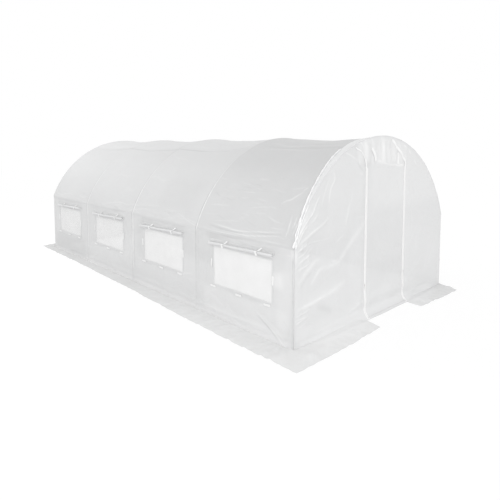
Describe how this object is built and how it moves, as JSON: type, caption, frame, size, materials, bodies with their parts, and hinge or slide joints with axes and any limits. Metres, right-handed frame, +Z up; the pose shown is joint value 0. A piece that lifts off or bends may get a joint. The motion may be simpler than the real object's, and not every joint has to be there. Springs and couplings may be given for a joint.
{
  "type": "polytunnel",
  "caption": "Walk-in tunnel of translucent film over arched tube hoops, with roll-up side windows, a zipped end door and a ground flap.",
  "frame": {"origin": "on the ground under the middle of the tunnel", "axes": "X across, Y along the tunnel with the door end at -Y, Z up"},
  "size_m": [3.66, 6.62, 2],
  "materials": {
    "film": "milky translucent film, satin",
    "net": "fine white insect net",
    "webbing": "white woven tape",
    "tube_steel": "galvanised tube, dull",
    "zip_metal": "white enamel"
  },
  "bodies": {
    "frame_and_cover": {"leg_left_1": "tube_steel", "leg_right_1": "tube_steel", "leg_left_2": "tube_steel", "leg_right_2": "tube_steel", "leg_left_3": "tube_steel", "leg_right_3": "tube_steel", "leg_left_4": "tube_steel", "leg_right_4": "tube_steel", "leg_left_5": "tube_steel", "leg_right_5": "tube_steel", "arch_1": "tube_steel", "arch_2": "tube_steel", "arch_3": "tube_steel", "arch_4": "tube_steel", "arch_5": "tube_steel", "ridge_rail": "tube_steel", "shoulder_rail_left": "tube_steel", "shoulder_rail_right": "tube_steel", "base_rail_left": "tube_steel", "base_rail_right": "tube_steel", "base_rail_rear": "tube_steel", "door_post_left": "tube_steel", "door_post_right": "tube_steel", "sill_rail_left": "tube_steel", "sill_rail_right": "tube_steel", "door_lintel": "tube_steel", "side_wall_left": "film", "side_wall_right": "film", "roof_sheet": "film", "front_wall": "film", "rear_wall": "film", "ground_flap": "film", "window_net_left_1": "net", "window_net_left_2": "net", "window_net_left_3": "net", "window_net_left_4": "net", "window_net_right_1": "net", "window_net_right_2": "net", "window_net_right_3": "net", "window_net_right_4": "net", "window_band_left_1": "webbing", "window_band_left_2": "webbing", "window_band_left_3": "webbing", "window_band_left_4": "webbing", "window_band_right_1": "webbing", "window_band_right_2": "webbing", "window_band_right_3": "webbing", "window_band_right_4": "webbing"},
    "window_flap_left_1": {"window_roll_left_1": "film"},
    "window_flap_left_2": {"window_roll_left_2": "film"},
    "window_flap_left_3": {"window_roll_left_3": "film"},
    "window_flap_left_4": {"window_roll_left_4": "film"},
    "window_flap_right_1": {"window_roll_right_1": "film"},
    "window_flap_right_2": {"window_roll_right_2": "film"},
    "window_flap_right_3": {"window_roll_right_3": "film"},
    "window_flap_right_4": {"window_roll_right_4": "film"},
    "door": {"door_panel": "film"},
    "zip_left": {"zip_slider_left": "zip_metal"},
    "zip_right": {"zip_slider_right": "zip_metal"}
  },
  "joints": [
    {"name": "window_flap_left_1_drop", "type": "slide", "parent": "frame_and_cover", "child": "window_flap_left_1", "axis": [0, 0, -1], "range_m": [0, 0.47]},
    {"name": "window_flap_left_2_drop", "type": "slide", "parent": "frame_and_cover", "child": "window_flap_left_2", "axis": [0, 0, -1], "range_m": [0, 0.47]},
    {"name": "window_flap_left_3_drop", "type": "slide", "parent": "frame_and_cover", "child": "window_flap_left_3", "axis": [0, 0, -1], "range_m": [0, 0.47]},
    {"name": "window_flap_left_4_drop", "type": "slide", "parent": "frame_and_cover", "child": "window_flap_left_4", "axis": [0, 0, -1], "range_m": [0, 0.47]},
    {"name": "window_flap_right_1_drop", "type": "slide", "parent": "frame_and_cover", "child": "window_flap_right_1", "axis": [0, 0, -1], "range_m": [0, 0.47]},
    {"name": "window_flap_right_2_drop", "type": "slide", "parent": "frame_and_cover", "child": "window_flap_right_2", "axis": [0, 0, -1], "range_m": [0, 0.47]},
    {"name": "window_flap_right_3_drop", "type": "slide", "parent": "frame_and_cover", "child": "window_flap_right_3", "axis": [0, 0, -1], "range_m": [0, 0.47]},
    {"name": "window_flap_right_4_drop", "type": "slide", "parent": "frame_and_cover", "child": "window_flap_right_4", "axis": [0, 0, -1], "range_m": [0, 0.47]},
    {"name": "door_swing", "type": "hinge", "parent": "frame_and_cover", "child": "door", "pos_m": [0.07, -2.999, 1.65], "axis": [-1, 0, 0], "range_deg": [0, 95]},
    {"name": "zip_left_run", "type": "slide", "parent": "frame_and_cover", "child": "zip_left", "axis": [0, 0, 1], "range_m": [0, 1.22]},
    {"name": "zip_right_run", "type": "slide", "parent": "frame_and_cover", "child": "zip_right", "axis": [0, 0, 1], "range_m": [0, 1.22]}
  ]
}
